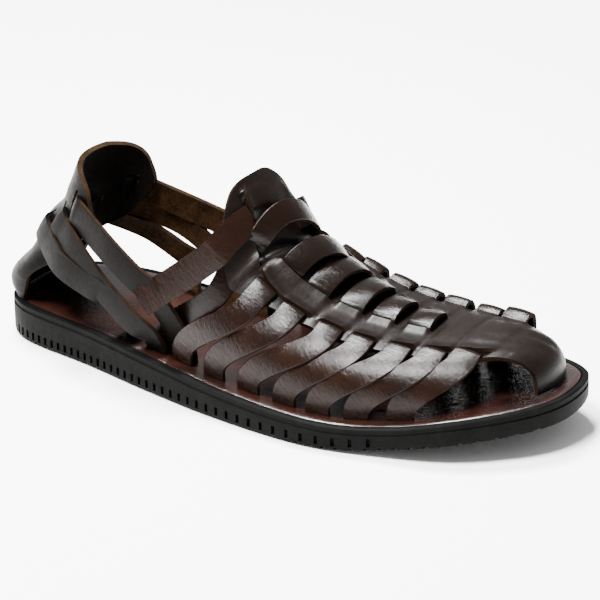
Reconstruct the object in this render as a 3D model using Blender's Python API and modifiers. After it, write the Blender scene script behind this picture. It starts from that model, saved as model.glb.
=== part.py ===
"""Woven leather sandal for the right foot, standing on its sole.

Metres, +Z up, +X to the toe, +Y to the inner side of the foot.
The origin is on the floor, under the middle of the sole's flat underside.
The spine is one strip of leather: tongue, woven vamp and toe cap. The straps weave through it.
"""
import bpy
from math import cos, pi, sin
from mathutils import Vector

# Sole
SOLE_LENGTH = 0.2708
BALL_WIDTH = 0.1013
HEEL_THICKNESS = 0.0183
TOE_SPRING = 0.0122
SOLE_BEVEL = 0.0024
SOLE_STEP = 0.0005
STEP_HEIGHT = 0.0036
RIM_WIDTH = 0.0030
INSOLE_THICKNESS = 0.0028
INSOLE_ROUND = 0.0006
OUTLINE_STEPS = 3

# Notches in the side of the sole, and the cross lugs under it
NOTCH_WIDTH = 0.0016
NOTCH_HEIGHT = 0.0038
NOTCH_DEPTH = 0.0016
NOTCH_PITCH_HEEL = 0.0040
NOTCH_PITCH_TOE = 0.0085
GROOVE_WIDTH = 0.0030
GROOVE_DEPTH = 0.0013
GROOVE_PITCH = 0.0090

# Upper
INSTEP_HEIGHT = 0.0955
SPINE_WALL = 0.0022
TONGUE_LEAN = 0.015
STRAP_WIDTH = 0.0105
STRAP_WALL = 0.0021
ANKLE_STRAP_WIDTH = 0.0125
HEEL_STRAP_WIDTH = 0.0110
WAIST_STRAP_WIDTH = 0.0086
FOOT_MARGIN = 0.0095
FOOT_DEPTH = 0.0011
FOOT_RISE = 0.0022
EDGE_REACH = 0.0015
SLIT_RUN = 0.0050
JOIN_DEPTH = 0.0004
ARM_BEND = 0.4
KNEE_SHARE = 0.14
KNEE_RISE = 0.0035
SPAN_STEPS = 5

# Heel counter
COUNTER_HEIGHT = 0.0860
COUNTER_WIDTH = 0.0570
COUNTER_WALL = 0.0026
COUNTER_SKEW = 0.07

CLEARANCE = 0.0003
SLIT_CLEARANCE = 0.0006

# Outline of the sole, from the heel to the toe: x as a share of the length,
# y of the outer and of the inner edge as shares of the ball width
OUTLINE = (
    # along, outer, inner
    (-0.4850, -0.165, 0.150),
    (-0.4560, -0.250, 0.245),
    (-0.4050, -0.300, 0.305),
    (-0.2950, -0.350, 0.338),
    (-0.1500, -0.437, 0.325),
    (-0.0040, -0.505, 0.356),
    (0.1470, -0.530, 0.432),
    (0.2580, -0.478, 0.462),
    (0.3680, -0.387, 0.440),
    (0.4480, -0.230, 0.365),
    (0.4930, -0.070, 0.262),
)
HEEL_END = (-0.4925, 0.000)
TOE_END = (0.5060, 0.100)

# Heights of the sole along its length: the rim as a share of the heel's thickness,
# the underside as a share of the toe spring
SOLE_HEIGHTS = (
    # along, rim, underside
    (-0.500, 1.000, 0.00),
    (-0.222, 0.935, 0.00),
    (0.000, 0.730, 0.00),
    (0.120, 0.650, 0.00),
    (0.222, 0.650, 0.08),
    (0.300, 0.790, 0.35),
    (0.370, 1.000, 0.62),
    (0.440, 1.150, 0.84),
    (0.506, 1.270, 1.00),
)

# The spine over the last: x of the crest as a share of the length; y of the spine's edges, of the
# crest and of the last's two sides as shares of the ball width; the crest's height as a share of
# the instep height; and the fullness of the section, 2 for an ellipse and more for a squarer one
SPINE = (
    # along, outer edge, inner edge, crest y, crest z, fullness, outer side, inner side
    (-0.0410, -0.100, 0.020, 0.030, 0.984, 3.0, -0.405, 0.420),
    (-0.0390, -0.148, 0.050, 0.030, 0.977, 2.9, -0.405, 0.420),
    (-0.0345, -0.197, 0.084, 0.030, 0.958, 2.7, -0.405, 0.420),
    (-0.0240, -0.252, 0.120, 0.032, 0.920, 2.5, -0.408, 0.420),
    (-0.0080, -0.291, 0.165, 0.035, 0.832, 2.5, -0.412, 0.418),
    (0.0150, -0.321, 0.257, 0.042, 0.717, 2.5, -0.418, 0.412),
    (0.0420, -0.316, 0.316, 0.050, 0.645, 2.7, -0.426, 0.408),
    (0.0920, -0.294, 0.332, 0.058, 0.533, 3.0, -0.437, 0.402),
    (0.1480, -0.285, 0.332, 0.066, 0.470, 3.0, -0.442, 0.396),
    (0.2020, -0.266, 0.330, 0.075, 0.438, 3.0, -0.430, 0.390),
    (0.2600, -0.242, 0.325, 0.084, 0.428, 3.0, -0.395, 0.382),
    (0.3140, -0.200, 0.322, 0.096, 0.430, 2.7, -0.355, 0.374),
    (0.3640, -0.145, 0.315, 0.108, 0.435, 2.3, -0.300, 0.366),
)
# The toe cap goes on from the last row above and closes down to the insole
CAP_EDGES = (
    # share of the turn down, outer edge, inner edge
    (0.00, -0.145, 0.315),
    (0.25, -0.085, 0.305),
    (0.50, -0.045, 0.295),
    (0.75, -0.030, 0.288),
    (1.00, -0.030, 0.283),
)
CAP_FULLNESS = 2.6
CAP_SEAT = 0.0008
SPINE_STEPS = 2
SPINE_COLUMNS = 12
CAP_ROWS = 9
SIDES = ((-1, "outer"), (1, "inner"))

# Cross straps: x of the outer foot, of the crossing and of the inner foot as shares of the length,
# how far the crossing's inner end lies forward, the way through the spine's slits, and how far the
# middle stands up and its front edge tilts
ROWS = (
    # name, outer foot, crossing, inner foot, forward, weave, rise, tilt
    ("a", -0.1000, 0.0525, -0.076, 0.020, "woven", 0.0036, 0.30),
    ("b", -0.0330, 0.0940, -0.003, 0.008, "woven", 0.0032, 0.25),
    ("c", 0.0350, 0.1470, 0.064, 0.004, "woven", 0.0026, 0.22),
    ("d", 0.1030, 0.2000, 0.132, 0.000, "woven", 0.0020, 0.16),
    ("e", 0.1630, 0.2600, 0.196, -0.006, "woven", 0.0016, 0.10),
    ("f", 0.2250, 0.3120, 0.256, 0.000, "under", 0.0000, 0.00),
    ("g", 0.2920, 0.3600, 0.313, 0.000, "under", 0.0000, 0.00),
)
ANKLE_ROW = ("ankle", -0.0100, 0.000, "under", 0.0000, 0.00)
LOOP_ROW = ("loop", 0.0070, 0.017, "loop", 0.0066, 0.45)
# The heights of a strap from the outer edge to the inner one: 1 is over the spine, 0 under it
WEAVES = {"woven": (1, 0, 1, 0, 1), "under": (1, 0, 1), "loop": (-0.3, 1, -0.3)}
# The slits of the spine: y of each as a share of the ball width
SLITS = (
    # along, outer, second, third, inner
    (-0.0100, -0.138, -0.090, 0.050, 0.110),
    (0.0120, -0.182, -0.120, 0.140, 0.215),
    (0.0540, -0.242, -0.133, 0.202, 0.275),
    (0.0940, -0.248, -0.122, 0.212, 0.286),
    (0.1470, -0.238, -0.104, 0.183, 0.286),
    (0.2000, -0.220, -0.080, 0.135, 0.284),
    (0.2600, -0.195, -0.060, 0.105, 0.278),
    (0.3120, -0.155, -0.030, 0.110, 0.275),
    (0.3600, -0.103, 0.000, 0.120, 0.268),
)

# Free straps of one side, from the foot of the last: x and y as shares of the length and the
# ball width, z as a share of the instep height. The inner side is told by its own rows.
V_TIP = {-1: (-0.1430, -0.432, 0.475), 1: (-0.1380, 0.365, 0.455)}
WAIST_FOOT = {-1: -0.1500, 1: -0.1450}
BAND_FOOT = {-1: -0.1030, 1: -0.0960}
HEEL_BAND = {
    -1: ((-0.1800, -0.415, 0.550), (-0.2350, -0.385, 0.635)),
    1: ((-0.1850, 0.372, 0.480), (-0.2450, 0.355, 0.530)),
}
INNER_LINE = 0.0036
HEEL_STRAPS = {
    # strap: (points of each side, foot of each side, how far the foot stands in)
    "middle": (
        {
            -1: ((-0.1640, -0.372, 0.252), (-0.1910, -0.402, 0.320), (-0.2500, -0.392, 0.450),
                 (-0.3110, -0.342, 0.570)),
            1: ((-0.1580, 0.270, 0.245), (-0.1880, 0.322, 0.300), (-0.2500, 0.364, 0.370),
                (-0.3110, 0.340, 0.450)),
        },
        {-1: -0.1560, 1: -0.1500},
        0.0,
    ),
    "lower": (
        {
            -1: ((-0.2400, -0.385, 0.400), (-0.2800, -0.385, 0.440), (-0.3400, -0.345, 0.485)),
            1: ((-0.2400, 0.345, 0.270), (-0.2800, 0.350, 0.325), (-0.3400, 0.330, 0.405)),
        },
        {-1: -0.2140, 1: -0.2260},
        INNER_LINE,
    ),
}

# The heel counter from its lower edge up: z as a share of its height, x of its back and of its wings
# as shares of the length, its width as a share of the full width, and how much of that width stands.
# COUNTER_SKEW turns the inner side back a little.
COUNTER = (
    # height, back, wing, width, standing
    (0.225, -0.4900, -0.445, 0.86, 1.00),
    (0.260, -0.5020, -0.440, 0.90, 1.00),
    (0.310, -0.5030, -0.433, 0.94, 1.00),
    (0.370, -0.4860, -0.424, 0.98, 1.00),
    (0.440, -0.4640, -0.396, 1.00, 1.00),
    (0.540, -0.4470, -0.345, 1.00, 1.00),
    (0.640, -0.4330, -0.316, 1.00, 1.00),
    (0.750, -0.3990, -0.292, 1.00, 1.00),
    (0.850, -0.3840, -0.285, 0.98, 0.92),
    (0.920, -0.3740, -0.278, 0.96, 0.80),
    (0.970, -0.3680, -0.272, 0.94, 0.60),
    (1.000, -0.3640, -0.270, 0.92, 0.30),
)
COUNTER_COLUMNS = 14
# Where each heel strap goes through the counter on its outer (-1) and its inner (1) side:
# height as a share of the counter's, the turn round the counter in degrees from that wing,
# for how many degrees before the slit the strap lies on the counter, and its rise per degree
COUNTER_SLITS = {
    # strap: (height, turn, lead, rise) of each side
    "band": {-1: (0.815, 19.0, 12.0, 0.0020), 1: (0.705, 20.0, 12.0, 0.0015)},
    "middle": {-1: (0.725, 37.0, 22.0, 0.0020), 1: (0.585, 42.0, 16.0, 0.0004)},
    "lower": {-1: (0.635, 55.0, 26.0, 0.0015), 1: (0.490, 56.0, 40.0, 0.0000)},
}
SLIT_TURN = 12.0
SLIT_POINTS = 8
SLIT_LENGTH = 0.0104
STRAP_GAP = 0.0015

MATERIALS = {
    # name: colour, roughness
    "black_rubber": ((0.020, 0.021, 0.022), 0.62),
    "insole_leather": ((0.050, 0.020, 0.014), 0.26),
    "brown_leather": ((0.058, 0.036, 0.028), 0.34),
    "counter_leather": ((0.055, 0.033, 0.024), 0.40),
}


def clear_scene():
    for old in list(bpy.data.objects):
        bpy.data.objects.remove(old, do_unlink=True)


def make_collection(name):
    collection = bpy.data.collections.new(name)
    bpy.context.scene.collection.children.link(collection)
    return collection


def make_material(name):
    colour, roughness = MATERIALS[name]
    material = bpy.data.materials.new(name)
    material.use_nodes = True
    shader = material.node_tree.nodes["Principled BSDF"]
    shader.inputs["Base Color"].default_value = (*colour, 1.0)
    shader.inputs["Roughness"].default_value = roughness
    shader.inputs["Metallic"].default_value = 0.0
    return material


def read_table(rows, column, x):
    """Smooth value of one column of a table at x, which is its first column."""
    if x <= rows[0][0]:
        return rows[0][column]
    if x >= rows[-1][0]:
        return rows[-1][column]
    i = max(k for k in range(len(rows) - 1) if rows[k][0] <= x)

    def slope(k):
        low = max(k - 1, 0)
        high = min(k + 1, len(rows) - 1)
        return (rows[high][column] - rows[low][column]) / (rows[high][0] - rows[low][0])

    step = rows[i + 1][0] - rows[i][0]
    t = (x - rows[i][0]) / step
    return (
        rows[i][column] * (2 * t**3 - 3 * t**2 + 1)
        + rows[i + 1][column] * (3 * t**2 - 2 * t**3)
        + slope(i) * step * (t**3 - 2 * t**2 + t)
        + slope(i + 1) * step * (t**3 - t**2)
    )


def catmull(points, steps, closed=False):
    """Points on a smooth curve through the given ones, steps to a span."""
    count = len(points)
    spans = count if closed else count - 1
    curve = []
    for i in range(spans):
        p1, p2 = points[i], points[(i + 1) % count]
        p0 = points[i - 1] if closed or i > 0 else p1 + (p1 - p2)
        p3 = points[(i + 2) % count] if closed or i < spans - 1 else p2 + (p2 - p1)
        for k in range(steps):
            t = k / steps
            curve.append(
                0.5 * (2 * p1 + (p2 - p0) * t + (2 * p0 - 5 * p1 + 4 * p2 - p3) * t**2
                       + (3 * p1 - p0 - 3 * p2 + p3) * t**3)
            )
    if not closed:
        curve.append(points[-1])
    return curve


def hermite(start, leave, end, arrive, steps):
    """Points from start to end, which leave and arrive along the given vectors, without the end."""
    curve = []
    for k in range(steps):
        t = k / steps
        curve.append(
            start * (2 * t**3 - 3 * t**2 + 1) + end * (3 * t**2 - 2 * t**3)
            + leave * (t**3 - 2 * t**2 + t) + arrive * (t**3 - t**2)
        )
    return curve


def ease(t):
    t = min(max(t, 0.0), 1.0)
    return t * t * (3 - 2 * t)


# The sole's outline and heights

def outline_points():
    """The sole's outline, counter-clockwise from above: the outer side forwards, the inner side back."""
    outer = [Vector((a * SOLE_LENGTH, o * BALL_WIDTH, 0)) for a, o, _ in OUTLINE]
    inner = [Vector((a * SOLE_LENGTH, i * BALL_WIDTH, 0)) for a, _, i in OUTLINE]
    heel = Vector((HEEL_END[0] * SOLE_LENGTH, HEEL_END[1] * BALL_WIDTH, 0))
    toe = Vector((TOE_END[0] * SOLE_LENGTH, TOE_END[1] * BALL_WIDTH, 0))
    return catmull([heel] + outer + [toe] + inner[::-1], OUTLINE_STEPS, closed=True)


def inset_outline(inset):
    points = outline_points()
    count = len(points)
    moved = []
    for i, point in enumerate(points):
        along = points[(i + 1) % count] - points[i - 1]
        inward = Vector((-along.y, along.x, 0)).normalized()
        moved.append(point + inward * inset)
    return moved


def rim_height(x):
    return read_table(SOLE_HEIGHTS, 1, x / SOLE_LENGTH) * HEEL_THICKNESS


def underside_height(x):
    return max(read_table(SOLE_HEIGHTS, 2, x / SOLE_LENGTH), 0.0) * TOE_SPRING


def edge_at(x, side, inset):
    """Point and direction of the inset outline at x, on the outer (-1) or the inner (1) side."""
    points = inset_outline(inset)
    count = len(points)
    for i, point in enumerate(points):
        after = points[(i + 1) % count]
        forwards = (after.x - point.x) * side < 0
        if forwards and min(point.x, after.x) <= x <= max(point.x, after.x):
            share = (x - point.x) / (after.x - point.x)
            direction = (after - point).normalized() * -side
            return point.lerp(after, share), direction
    raise ValueError("x lies outside the sole")


def front_at(y, inset):
    """x of the toe end of the inset outline at y."""
    points = inset_outline(inset)
    count = len(points)
    best = 0.0
    for i, point in enumerate(points):
        after = points[(i + 1) % count]
        if point.x > 0 and min(point.y, after.y) <= y <= max(point.y, after.y):
            share = (y - point.y) / (after.y - point.y)
            best = max(best, point.lerp(after, share).x)
    return best


# The last that the upper is shaped on

CAP_START = SPINE[-1][0]
LEAN_START, LEAN_END = 5, 8
LEAN_REACH = 0.45
CAP_LENGTH = 0.5 - CAP_START


def section(crest_x, y):
    """Height share of the last's section at a crest station: 1 at the crest, 0 at the insole."""
    share = crest_x / SOLE_LENGTH
    crest_y = read_table(SPINE, 3, share) * BALL_WIDTH
    side_y = read_table(SPINE, 6 if y < crest_y else 7, share) * BALL_WIDTH
    fullness = read_table(SPINE, 5, share)
    across = min(abs(y - crest_y) / abs(side_y - crest_y), 0.995)
    return (1 - across**fullness) ** (1 / fullness)


def last_point(station, y):
    """Point of the last's surface. The station is the crest's x, and past the cap's start it
    stands for the turn down to the insole."""
    start = CAP_START * SOLE_LENGTH
    crest_x = min(station, start)
    crest_z = read_table(SPINE, 4, crest_x / SOLE_LENGTH) * INSTEP_HEIGHT
    height = section(crest_x, y)
    base = rim_height(crest_x)
    crest_y = read_table(SPINE, 3, crest_x / SOLE_LENGTH) * BALL_WIDTH
    fade = ease((SPINE[LEAN_END][0] - crest_x / SOLE_LENGTH) / (SPINE[LEAN_END][0] - SPINE[LEAN_START][0]))
    lean = TONGUE_LEAN * fade * ((y - crest_y) / (LEAN_REACH * BALL_WIDTH)) ** 2
    top = Vector((crest_x - lean, y, base + (crest_z - base) * height))
    if station <= start:
        return top
    turn = min((station - start) / (CAP_LENGTH * SOLE_LENGTH), 1.0) * pi / 2
    reach = front_at(y, FOOT_MARGIN)
    floor = rim_height(reach) + CAP_SEAT
    forward = sin(turn) ** (2 / CAP_FULLNESS)
    down = cos(turn) ** (2 / CAP_FULLNESS) if turn < pi / 2 else 0.0
    return Vector((start + (reach - start) * forward, y, floor + (top.z - floor) * down))


def last_normal(station, y):
    step = 0.0008
    back = last_point(station - step, y)
    along = last_point(station + step, y) - back
    across = last_point(station, y + step) - last_point(station, y - step)
    return along.cross(across).normalized()


def spine_edges(station):
    """y of the spine's outer and inner edge at a station."""
    share = station / SOLE_LENGTH
    if share <= CAP_START:
        return read_table(SPINE, 1, share) * BALL_WIDTH, read_table(SPINE, 2, share) * BALL_WIDTH
    turned = (share - CAP_START) / CAP_LENGTH
    return read_table(CAP_EDGES, 1, turned) * BALL_WIDTH, read_table(CAP_EDGES, 2, turned) * BALL_WIDTH


# Mesh makers

def link(obj, collection, material=None):
    collection.objects.link(obj)
    if material:
        obj.data.materials.append(material)
    if collection.name == "cutters":
        obj.hide_render = True
        obj.display_type = "WIRE"
    return obj


def mesh_object(name, points, faces, collection, material=None):
    mesh = bpy.data.meshes.new(name)
    mesh.from_pydata(points, [], faces)
    mesh.shade_smooth()
    mesh.set_sharp_from_angle(angle=pi / 5)
    return link(bpy.data.objects.new(name, mesh), collection, material)


def solidify(obj, thickness, offset):
    shell = obj.modifiers.new("wall", "SOLIDIFY")
    shell.thickness = thickness
    shell.offset = offset
    shell.use_even_offset = True
    return obj


def boolean(obj, other, operation):
    cut = obj.modifiers.new(other.name, "BOOLEAN")
    cut.operation = operation
    cut.solver = "EXACT"
    cut.object = other


def grid_faces(rows, columns):
    faces = []
    for i in range(rows - 1):
        for j in range(columns - 1):
            a = i * columns + j
            faces.append((a, a + columns, a + columns + 1, a + 1))
    return faces


def lofted_rings(name, rings, collection, material):
    """Closed solid through rings of equal length: the first ring is closed by a ladder of
    faces across it, and so is the last."""
    count = len(rings[0])
    points = [point for ring in rings for point in ring]
    faces = []
    for r in range(len(rings) - 1):
        for i in range(count):
            after = (i + 1) % count
            low, high = r * count, (r + 1) * count
            faces.append((low + i, low + after, high + after, high + i))
    last = (len(rings) - 1) * count
    for i in range(count // 2):
        j, k = i, i + 1
        m, n = (count - k) % count, (count - j) % count
        lower = [j, n, m, k] if j != n else [j, m, k]
        if m == k:
            lower = [j, n, k]
        faces.append(tuple(lower))
        faces.append(tuple(last + v for v in reversed(lower)))
    return mesh_object(name, points, faces, collection, material)


def ribbon(name, path, outward, width, thickness, collection, material=None):
    """Flat strap along a path. outward gives the side that it faces at each point."""
    points = []
    count = len(path)
    for i in range(count):
        along = path[min(i + 1, count - 1)] - path[max(i - 1, 0)]
        across = along.cross(outward[i]).normalized() * (width / 2)
        points += [path[i] - across, path[i] + across]
    strip = mesh_object(name, points, grid_faces(count, 2), collection, material)
    return solidify(strip, thickness, 0.0)


# Sole pieces

def ring_at(inset, height_of):
    return [Vector((p.x, p.y, height_of(p.x))) for p in inset_outline(inset)]


def make_outsole(collection, cutters, material):
    rings = [
        ring_at(SOLE_BEVEL, underside_height),
        ring_at(0.0, lambda x: underside_height(x) + SOLE_BEVEL),
        ring_at(0.0, lambda x: rim_height(x) - STEP_HEIGHT),
        ring_at(SOLE_STEP, lambda x: rim_height(x) - STEP_HEIGHT + SOLE_STEP),
        ring_at(SOLE_STEP, lambda x: rim_height(x) - SOLE_STEP),
        ring_at(2 * SOLE_STEP, rim_height),
        ring_at(RIM_WIDTH, rim_height),
        ring_at(RIM_WIDTH, lambda x: rim_height(x) - INSOLE_THICKNESS - CLEARANCE),
    ]
    outsole = lofted_rings("outsole", rings, collection, material)
    boolean(outsole, notch_cutter(cutters), "DIFFERENCE")
    boolean(outsole, groove_cutter(cutters), "DIFFERENCE")


def box_points(centre, along, across, up, sizes):
    """Corners and faces of a box with the given directions and full sizes."""
    corners = []
    for k in (-0.5, 0.5):
        for j in (-0.5, 0.5):
            for i in (-0.5, 0.5):
                corners.append(centre + along * sizes[0] * i + across * sizes[1] * j + up * sizes[2] * k)
    faces = [(0, 2, 3, 1), (4, 5, 7, 6), (0, 1, 5, 4), (2, 6, 7, 3), (0, 4, 6, 2), (1, 3, 7, 5)]
    return corners, faces


def joined_boxes(name, boxes, collection):
    points, faces = [], []
    for centre, along, sizes in boxes:
        across = Vector((-along.y, along.x, 0))
        corners, sides = box_points(centre, along, across, Vector((0, 0, 1)), sizes)
        faces += [tuple(v + len(points) for v in side) for side in sides]
        points += corners
    return mesh_object(name, points, faces, collection)


def notch_cutter(collection):
    """A notch across the lower half of the wall, closer together towards the heel."""
    notch_start, notch_end = -0.455, 0.275
    boxes = []
    for side, _ in SIDES:
        x = notch_start * SOLE_LENGTH
        while x < notch_end * SOLE_LENGTH:
            point, direction = edge_at(x, side, 0.0)
            height = underside_height(x) + SOLE_BEVEL + NOTCH_HEIGHT / 2
            centre = Vector((point.x, point.y, height))
            boxes.append((centre, direction, (NOTCH_WIDTH, 2 * NOTCH_DEPTH, NOTCH_HEIGHT)))
            share = (x / SOLE_LENGTH - notch_start) / (notch_end - notch_start)
            pitch = NOTCH_PITCH_HEEL + (NOTCH_PITCH_TOE - NOTCH_PITCH_HEEL) * share**2
            x += pitch * abs(direction.x)
    return joined_boxes("notch_cutter", boxes, collection)


def groove_cutter(collection):
    """Grooves across the underside, which leave the lugs of the heel and the forefoot."""
    boxes = []
    for start, end in ((-0.43, -0.27), (0.13, 0.47)):
        x = start * SOLE_LENGTH
        while x < end * SOLE_LENGTH:
            centre = Vector((x, 0, underside_height(x)))
            boxes.append((centre, Vector((1, 0, 0)), (GROOVE_WIDTH, 2 * BALL_WIDTH, 2 * GROOVE_DEPTH)))
            x += GROOVE_PITCH
    return joined_boxes("groove_cutter", boxes, collection)


def strap_feet():
    """Every strap foot: x, side, the strap's width and how far it stands in from the others."""
    feet = []
    for _, outer, _, inner, *_ in ROWS:
        feet += [(outer, -1, STRAP_WIDTH, 0.0), (inner, 1, STRAP_WIDTH, 0.0)]
    for side, _ in SIDES:
        feet.append((WAIST_FOOT[side], side, WAIST_STRAP_WIDTH, INNER_LINE))
        feet.append((BAND_FOOT[side], side, ANKLE_STRAP_WIDTH, INNER_LINE))
        for _, foot, shift in HEEL_STRAPS.values():
            feet.append((foot[side], side, HEEL_STRAP_WIDTH, shift))
    return feet


def make_insole(collection, cutters, material):
    seat = RIM_WIDTH + CLEARANCE
    rings = [
        ring_at(seat, lambda x: rim_height(x) - INSOLE_THICKNESS),
        ring_at(seat, lambda x: rim_height(x) - INSOLE_ROUND),
        ring_at(seat + INSOLE_ROUND, rim_height),
    ]
    insole = lofted_rings("insole", rings, collection, material)
    boxes = []
    for along, side, width, shift in strap_feet():
        point, direction = edge_at(along * SOLE_LENGTH, side, FOOT_MARGIN + shift)
        centre = Vector((point.x, point.y, rim_height(point.x)))
        wide = width + 2 * CLEARANCE
        thick = STRAP_WALL + 2 * CLEARANCE
        boxes.append((centre, direction, (wide, thick, 4 * INSOLE_THICKNESS)))
    boolean(insole, joined_boxes("slot_cutter", boxes, cutters), "DIFFERENCE")


# Straps

def foot_points(along, side, shift=0.0):
    """The vertical run of a strap through its slot, from below up, and its outward directions."""
    point, direction = edge_at(along * SOLE_LENGTH, side, FOOT_MARGIN + shift)
    outward = Vector((-direction.y, direction.x, 0)) * (1 if side > 0 else -1)
    top = rim_height(point.x)
    heights = (top - FOOT_DEPTH, top + FOOT_RISE)
    return [Vector((point.x, point.y, z)) for z in heights], [outward] * 2


def weave_height(y, slits, weave, rise):
    """Height of a strap's middle over the spine's outer face at y, and its share of the middle's
    arch."""
    over = STRAP_WALL / 2 - JOIN_DEPTH
    under = -SPINE_WALL - STRAP_WALL / 2 + JOIN_DEPTH
    levels = WEAVES[weave]
    if len(levels) == 3:
        slits = (slits[0], slits[3])
    height = levels[0]
    for k, slit in enumerate(slits):
        height += ease((y - slit) / SLIT_RUN + 0.5) * (levels[k + 1] - levels[k])
    low, high = (slits[0], slits[1]) if len(slits) == 2 else (slits[1], slits[2])
    arch = max(0.0, 1 - (2 * (y - low) / (high - low) - 1) ** 2)
    return under + (over - under) * height + rise * arch, arch


def crossing_points(crossing, forward, weave, rise, tilt, first_step=0.0031):
    """Path of a strap across the spine, from just outside its outer edge to just outside its inner."""
    slits = [read_table(SLITS, k, crossing) * BALL_WIDTH for k in (1, 2, 3, 4)]
    outer, inner = spine_edges(crossing * SOLE_LENGTH)
    low, high = outer - EDGE_REACH, inner + EDGE_REACH
    count = round((high - low) / first_step)
    path, outward = [], []
    for k in range(count + 1):
        y = low + (high - low) * k / count
        station = (crossing + forward * ease((y - slits[0]) / (slits[3] - slits[0]))) * SOLE_LENGTH
        normal = last_normal(station, y)
        height, arch = weave_height(y, slits, weave, rise)
        ahead = (last_point(station + EDGE_REACH, y) - last_point(station - EDGE_REACH, y)).normalized()
        path.append(last_point(station, y) + normal * height)
        outward.append((normal - ahead * tilt * arch).normalized())
    return path, outward


def free_span(foot, foot_out, end, end_out, arrive, steps):
    """Path from the top of a foot's vertical run up to the first point of a crossing."""
    reach = (end - foot).length
    leave = Vector((0, 0, 1)) + foot_out * 0.15
    path = hermite(foot, leave * reach, end, arrive * reach, steps)[1:]
    outward = [foot_out.lerp(end_out, (k + 1) / steps).normalized() for k in range(len(path))]
    return path, outward


def make_row(name, outer_foot, crossing, inner_foot, forward, weave, rise, tilt, collection):
    """A cross strap from the outer slot, through the spine, to the inner slot."""
    path, outward = crossing_points(crossing, forward, weave, rise, tilt)
    for side, along in ((-1, outer_foot), (1, inner_foot)):
        if side > 0:
            path.reverse()
            outward.reverse()
        feet, feet_out = foot_points(along, side)
        arrive = (path[1] - path[0]).normalized()
        span, span_out = free_span(feet[-1], feet_out[-1], path[0], outward[0], arrive, SPAN_STEPS)
        path = feet + span + path
        outward = feet_out + span_out + outward
    return ribbon("row_" + name, path, outward, STRAP_WIDTH, STRAP_WALL, collection)


def place(shares):
    return Vector((shares[0] * SOLE_LENGTH, shares[1] * BALL_WIDTH, shares[2] * INSTEP_HEIGHT))


def side_out(side):
    return Vector((0, side, 0.15)).normalized()


def make_ankle_strap(collection):
    """The ankle strap: from one V fold, through the tongue, to the other fold."""
    path, outward = crossing_points(*ANKLE_ROW[1:])
    for side, _ in SIDES:
        if side > 0:
            path.reverse()
            outward.reverse()
        tip = place(V_TIP[side])
        straight = path[0] - tip
        arrive = (path[1] - path[0]).normalized() * straight.length
        span = hermite(tip, straight, path[0], straight.lerp(arrive, ARM_BEND), SPAN_STEPS)
        count = len(span)
        span_out = [side_out(side).lerp(outward[0], ease(k / count)).normalized() for k in range(count)]
        path = span + path
        outward = span_out + outward
    return ribbon("ankle_strap", path, outward, ANKLE_STRAP_WIDTH, STRAP_WALL, collection)


def make_waist_loop(collection):
    """The strap from the insole, under the spine's edge, in a high loop over its middle and back."""
    path, outward = crossing_points(*LOOP_ROW[1:])
    for side, _ in SIDES:
        if side > 0:
            path.reverse()
            outward.reverse()
        feet, feet_out = foot_points(WAIST_FOOT[side], side, INNER_LINE)
        arrive = (path[1] - path[0]).normalized()
        span, span_out = free_span(feet[-1], feet_out[-1], path[0], outward[0], arrive, SPAN_STEPS)
        path = feet + span + path
        outward = feet_out + span_out + outward
    return ribbon("waist_loop", path, outward, WAIST_STRAP_WIDTH, STRAP_WALL, collection)


# Heel counter and heel straps

def counter_point(height, turn):
    """Point of the counter's outer face: height as a share, turn in degrees from the outer wing."""
    back = read_table(COUNTER, 1, height) * SOLE_LENGTH
    wing = read_table(COUNTER, 2, height) * SOLE_LENGTH
    width = read_table(COUNTER, 3, height) * COUNTER_WIDTH
    angle = turn * pi / 180
    y = -width / 2 * cos(angle)
    skew = COUNTER_SKEW * (y + COUNTER_WIDTH / 2) ** 2 / COUNTER_WIDTH
    return Vector((wing - (wing - back) * sin(angle) - skew, y, height * COUNTER_HEIGHT))


def counter_normal(height, turn):
    step_up, step_round = 0.05, 2.0
    up = counter_point(height + step_up, turn) - counter_point(height - step_up, turn)
    around = counter_point(height, turn + step_round) - counter_point(height, turn - step_round)
    return up.cross(around).normalized()


def make_counter(collection, material):
    points = []
    rows = len(COUNTER)
    for height, _, _, _, standing in COUNTER:
        for k in range(COUNTER_COLUMNS + 1):
            spread = 1 - 2 * k / COUNTER_COLUMNS
            turn = 90 - spread * 90 * standing
            points.append(counter_point(height, turn))
    counter = mesh_object("heel_counter", points, grid_faces(rows, COUNTER_COLUMNS + 1), collection, material)
    return solidify(counter, COUNTER_WALL, -1.0)


def counter_run(strap, side):
    """End of a heel strap: from outside the counter's slit to just inside it."""
    height, slit, lead, rise = COUNTER_SLITS[strap][side]
    outside = STRAP_WALL / 2 + STRAP_GAP
    inside = -COUNTER_WALL - STRAP_WALL / 2 - STRAP_GAP
    path, outward = [], []
    for k in range(SLIT_POINTS + 1):
        past = k / SLIT_POINTS * (lead + SLIT_TURN) - lead
        turn = slit + past if side < 0 else 180 - slit - past
        at_height = height + rise * past
        normal = counter_normal(at_height, turn)
        offset = outside + ease(past / SLIT_TURN / 2 + 0.5) * (inside - outside)
        path.append(counter_point(at_height, turn) + normal * offset)
        outward.append(normal)
    return path, outward


def slit_cutter(strap, side, name, collection):
    """A box through the counter for one slit."""
    height, slit, _, rise = COUNTER_SLITS[strap][side]
    width = ANKLE_STRAP_WIDTH if strap == "band" else HEEL_STRAP_WIDTH
    turn = slit if side < 0 else 180 - slit
    rise *= -side
    normal = counter_normal(height, turn)
    centre = counter_point(height, turn) - normal * COUNTER_WALL / 2
    around = counter_point(height + rise, turn + 1) - counter_point(height - rise, turn - 1)
    up = normal.cross(around).normalized()
    sizes = (SLIT_LENGTH, width + 2 * SLIT_CLEARANCE, 3 * COUNTER_WALL)
    corners, sides = box_points(centre, around.normalized(), up, normal, sizes)
    return mesh_object(f"{strap}_slit_{name}", corners, sides, collection)


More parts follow.
